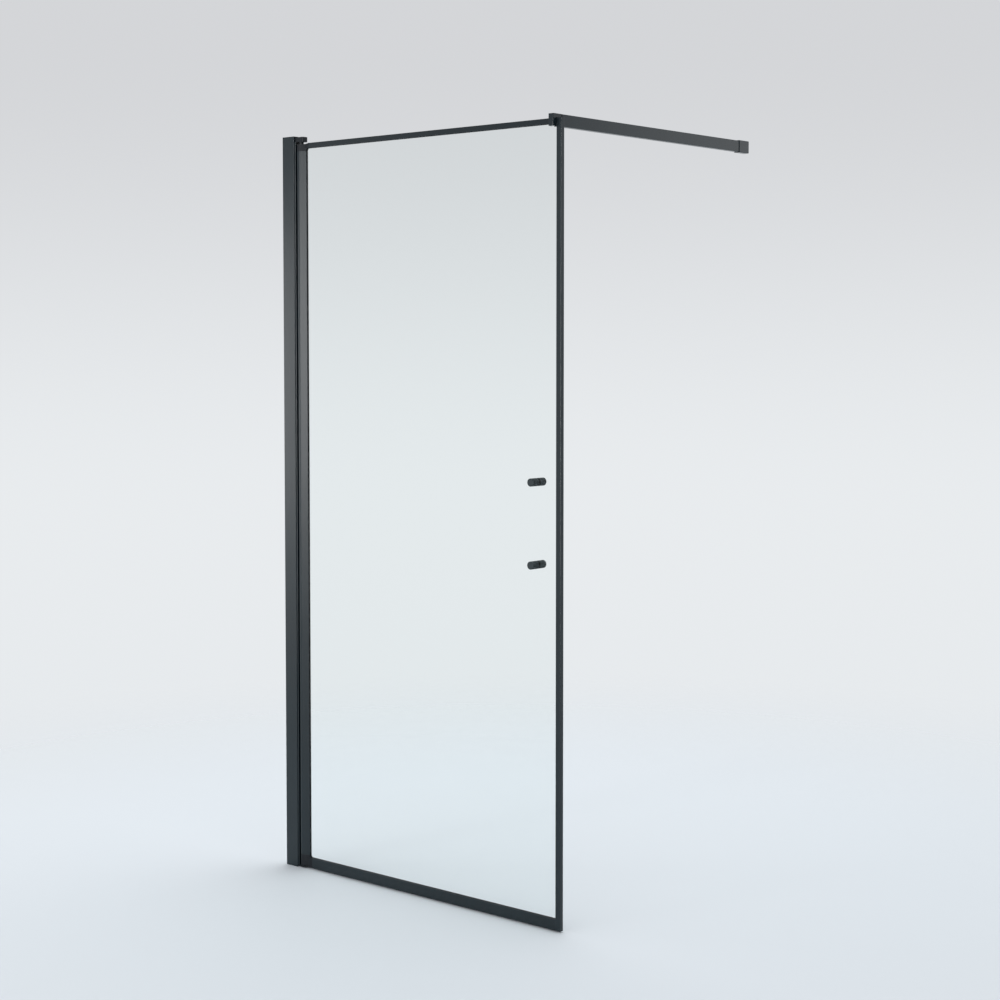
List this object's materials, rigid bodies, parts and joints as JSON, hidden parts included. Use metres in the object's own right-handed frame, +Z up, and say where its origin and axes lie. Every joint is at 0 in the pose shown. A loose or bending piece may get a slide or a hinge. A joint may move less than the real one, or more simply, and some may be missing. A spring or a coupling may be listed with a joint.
{
  "type": "shower screen",
  "caption": "Framed pivot shower screen: clear glass door in a slim black frame, hinged in a telescoping wall channel, with through-glass knobs and a support bar to the back wall.",
  "frame": {"origin": "on the wall plane behind the channel, at floor level, on the mid-plane of the closed door", "axes": "+X along the screen from the wall to its free edge, +Y into the shower towards the back wall, +Z up"},
  "size_m": [0.967, 0.8525, 2],
  "materials": {
    "black_profile": "matt black powder coat on extruded aluminium",
    "black_knob": "satin black coated turned metal",
    "black_moulding": "fine-grained black moulded nylon",
    "bearing_plastic": "smooth black acetal",
    "steel": "stainless steel",
    "black_rubber": "soft black rubber",
    "clear_glass": "clear toughened glass with a faint green edge"
  },
  "bodies": {
    "wall_set": {"wall_channel": "black_profile", "channel_lid": "black_moulding", "clamp_screws": "steel", "clamp_nuts": "steel", "support_bar": "black_profile", "bar_end_plug": "black_moulding", "catch_magnet": "steel", "wall_socket": "black_profile", "socket_screw": "steel"},
    "post": {"hinge_post": "black_profile", "hinge_block_screws": "steel", "hinge_seal": "black_rubber", "upper_hinge_block": "black_moulding", "lower_hinge_block": "black_moulding", "upper_pivot_pin": "steel", "lower_pivot_pin": "steel"},
    "door": {"hinge_stile": "black_profile", "top_rail": "black_profile", "bottom_rail": "black_profile", "free_stile": "black_profile", "saddle_clamp": "black_profile", "upper_outer_knob": "black_knob", "upper_inner_knob": "black_knob", "lower_outer_knob": "black_knob", "lower_inner_knob": "black_knob", "upper_hinge_corner": "black_moulding", "lower_hinge_corner": "black_moulding", "upper_free_cleat": "black_moulding", "lower_free_cleat": "black_moulding", "upper_pivot_bush": "bearing_plastic", "lower_pivot_bush": "bearing_plastic", "thrust_washer": "bearing_plastic", "knob_sleeves": "bearing_plastic", "knob_washers": "bearing_plastic", "frame_screws": "steel", "upper_knob_stud": "steel", "lower_knob_stud": "steel", "saddle_screw": "steel", "strike_plate": "steel", "bottom_sweep": "black_rubber", "top_gasket": "black_rubber", "bottom_gasket": "black_rubber", "hinge_side_gasket": "black_rubber", "free_side_gasket": "black_rubber", "saddle_pad": "black_rubber", "glass_pane": "clear_glass"}
  },
  "joints": [
    {"name": "width_adjust", "type": "slide", "parent": "wall_set", "child": "post", "axis": [1, 0, 0], "range_m": [-0.004, 0.016]},
    {"name": "door_swing", "type": "hinge", "parent": "post", "child": "door", "pos_m": [0.06, 0, 0], "axis": [0, 0, -1], "range_deg": [0, 90]}
  ]
}
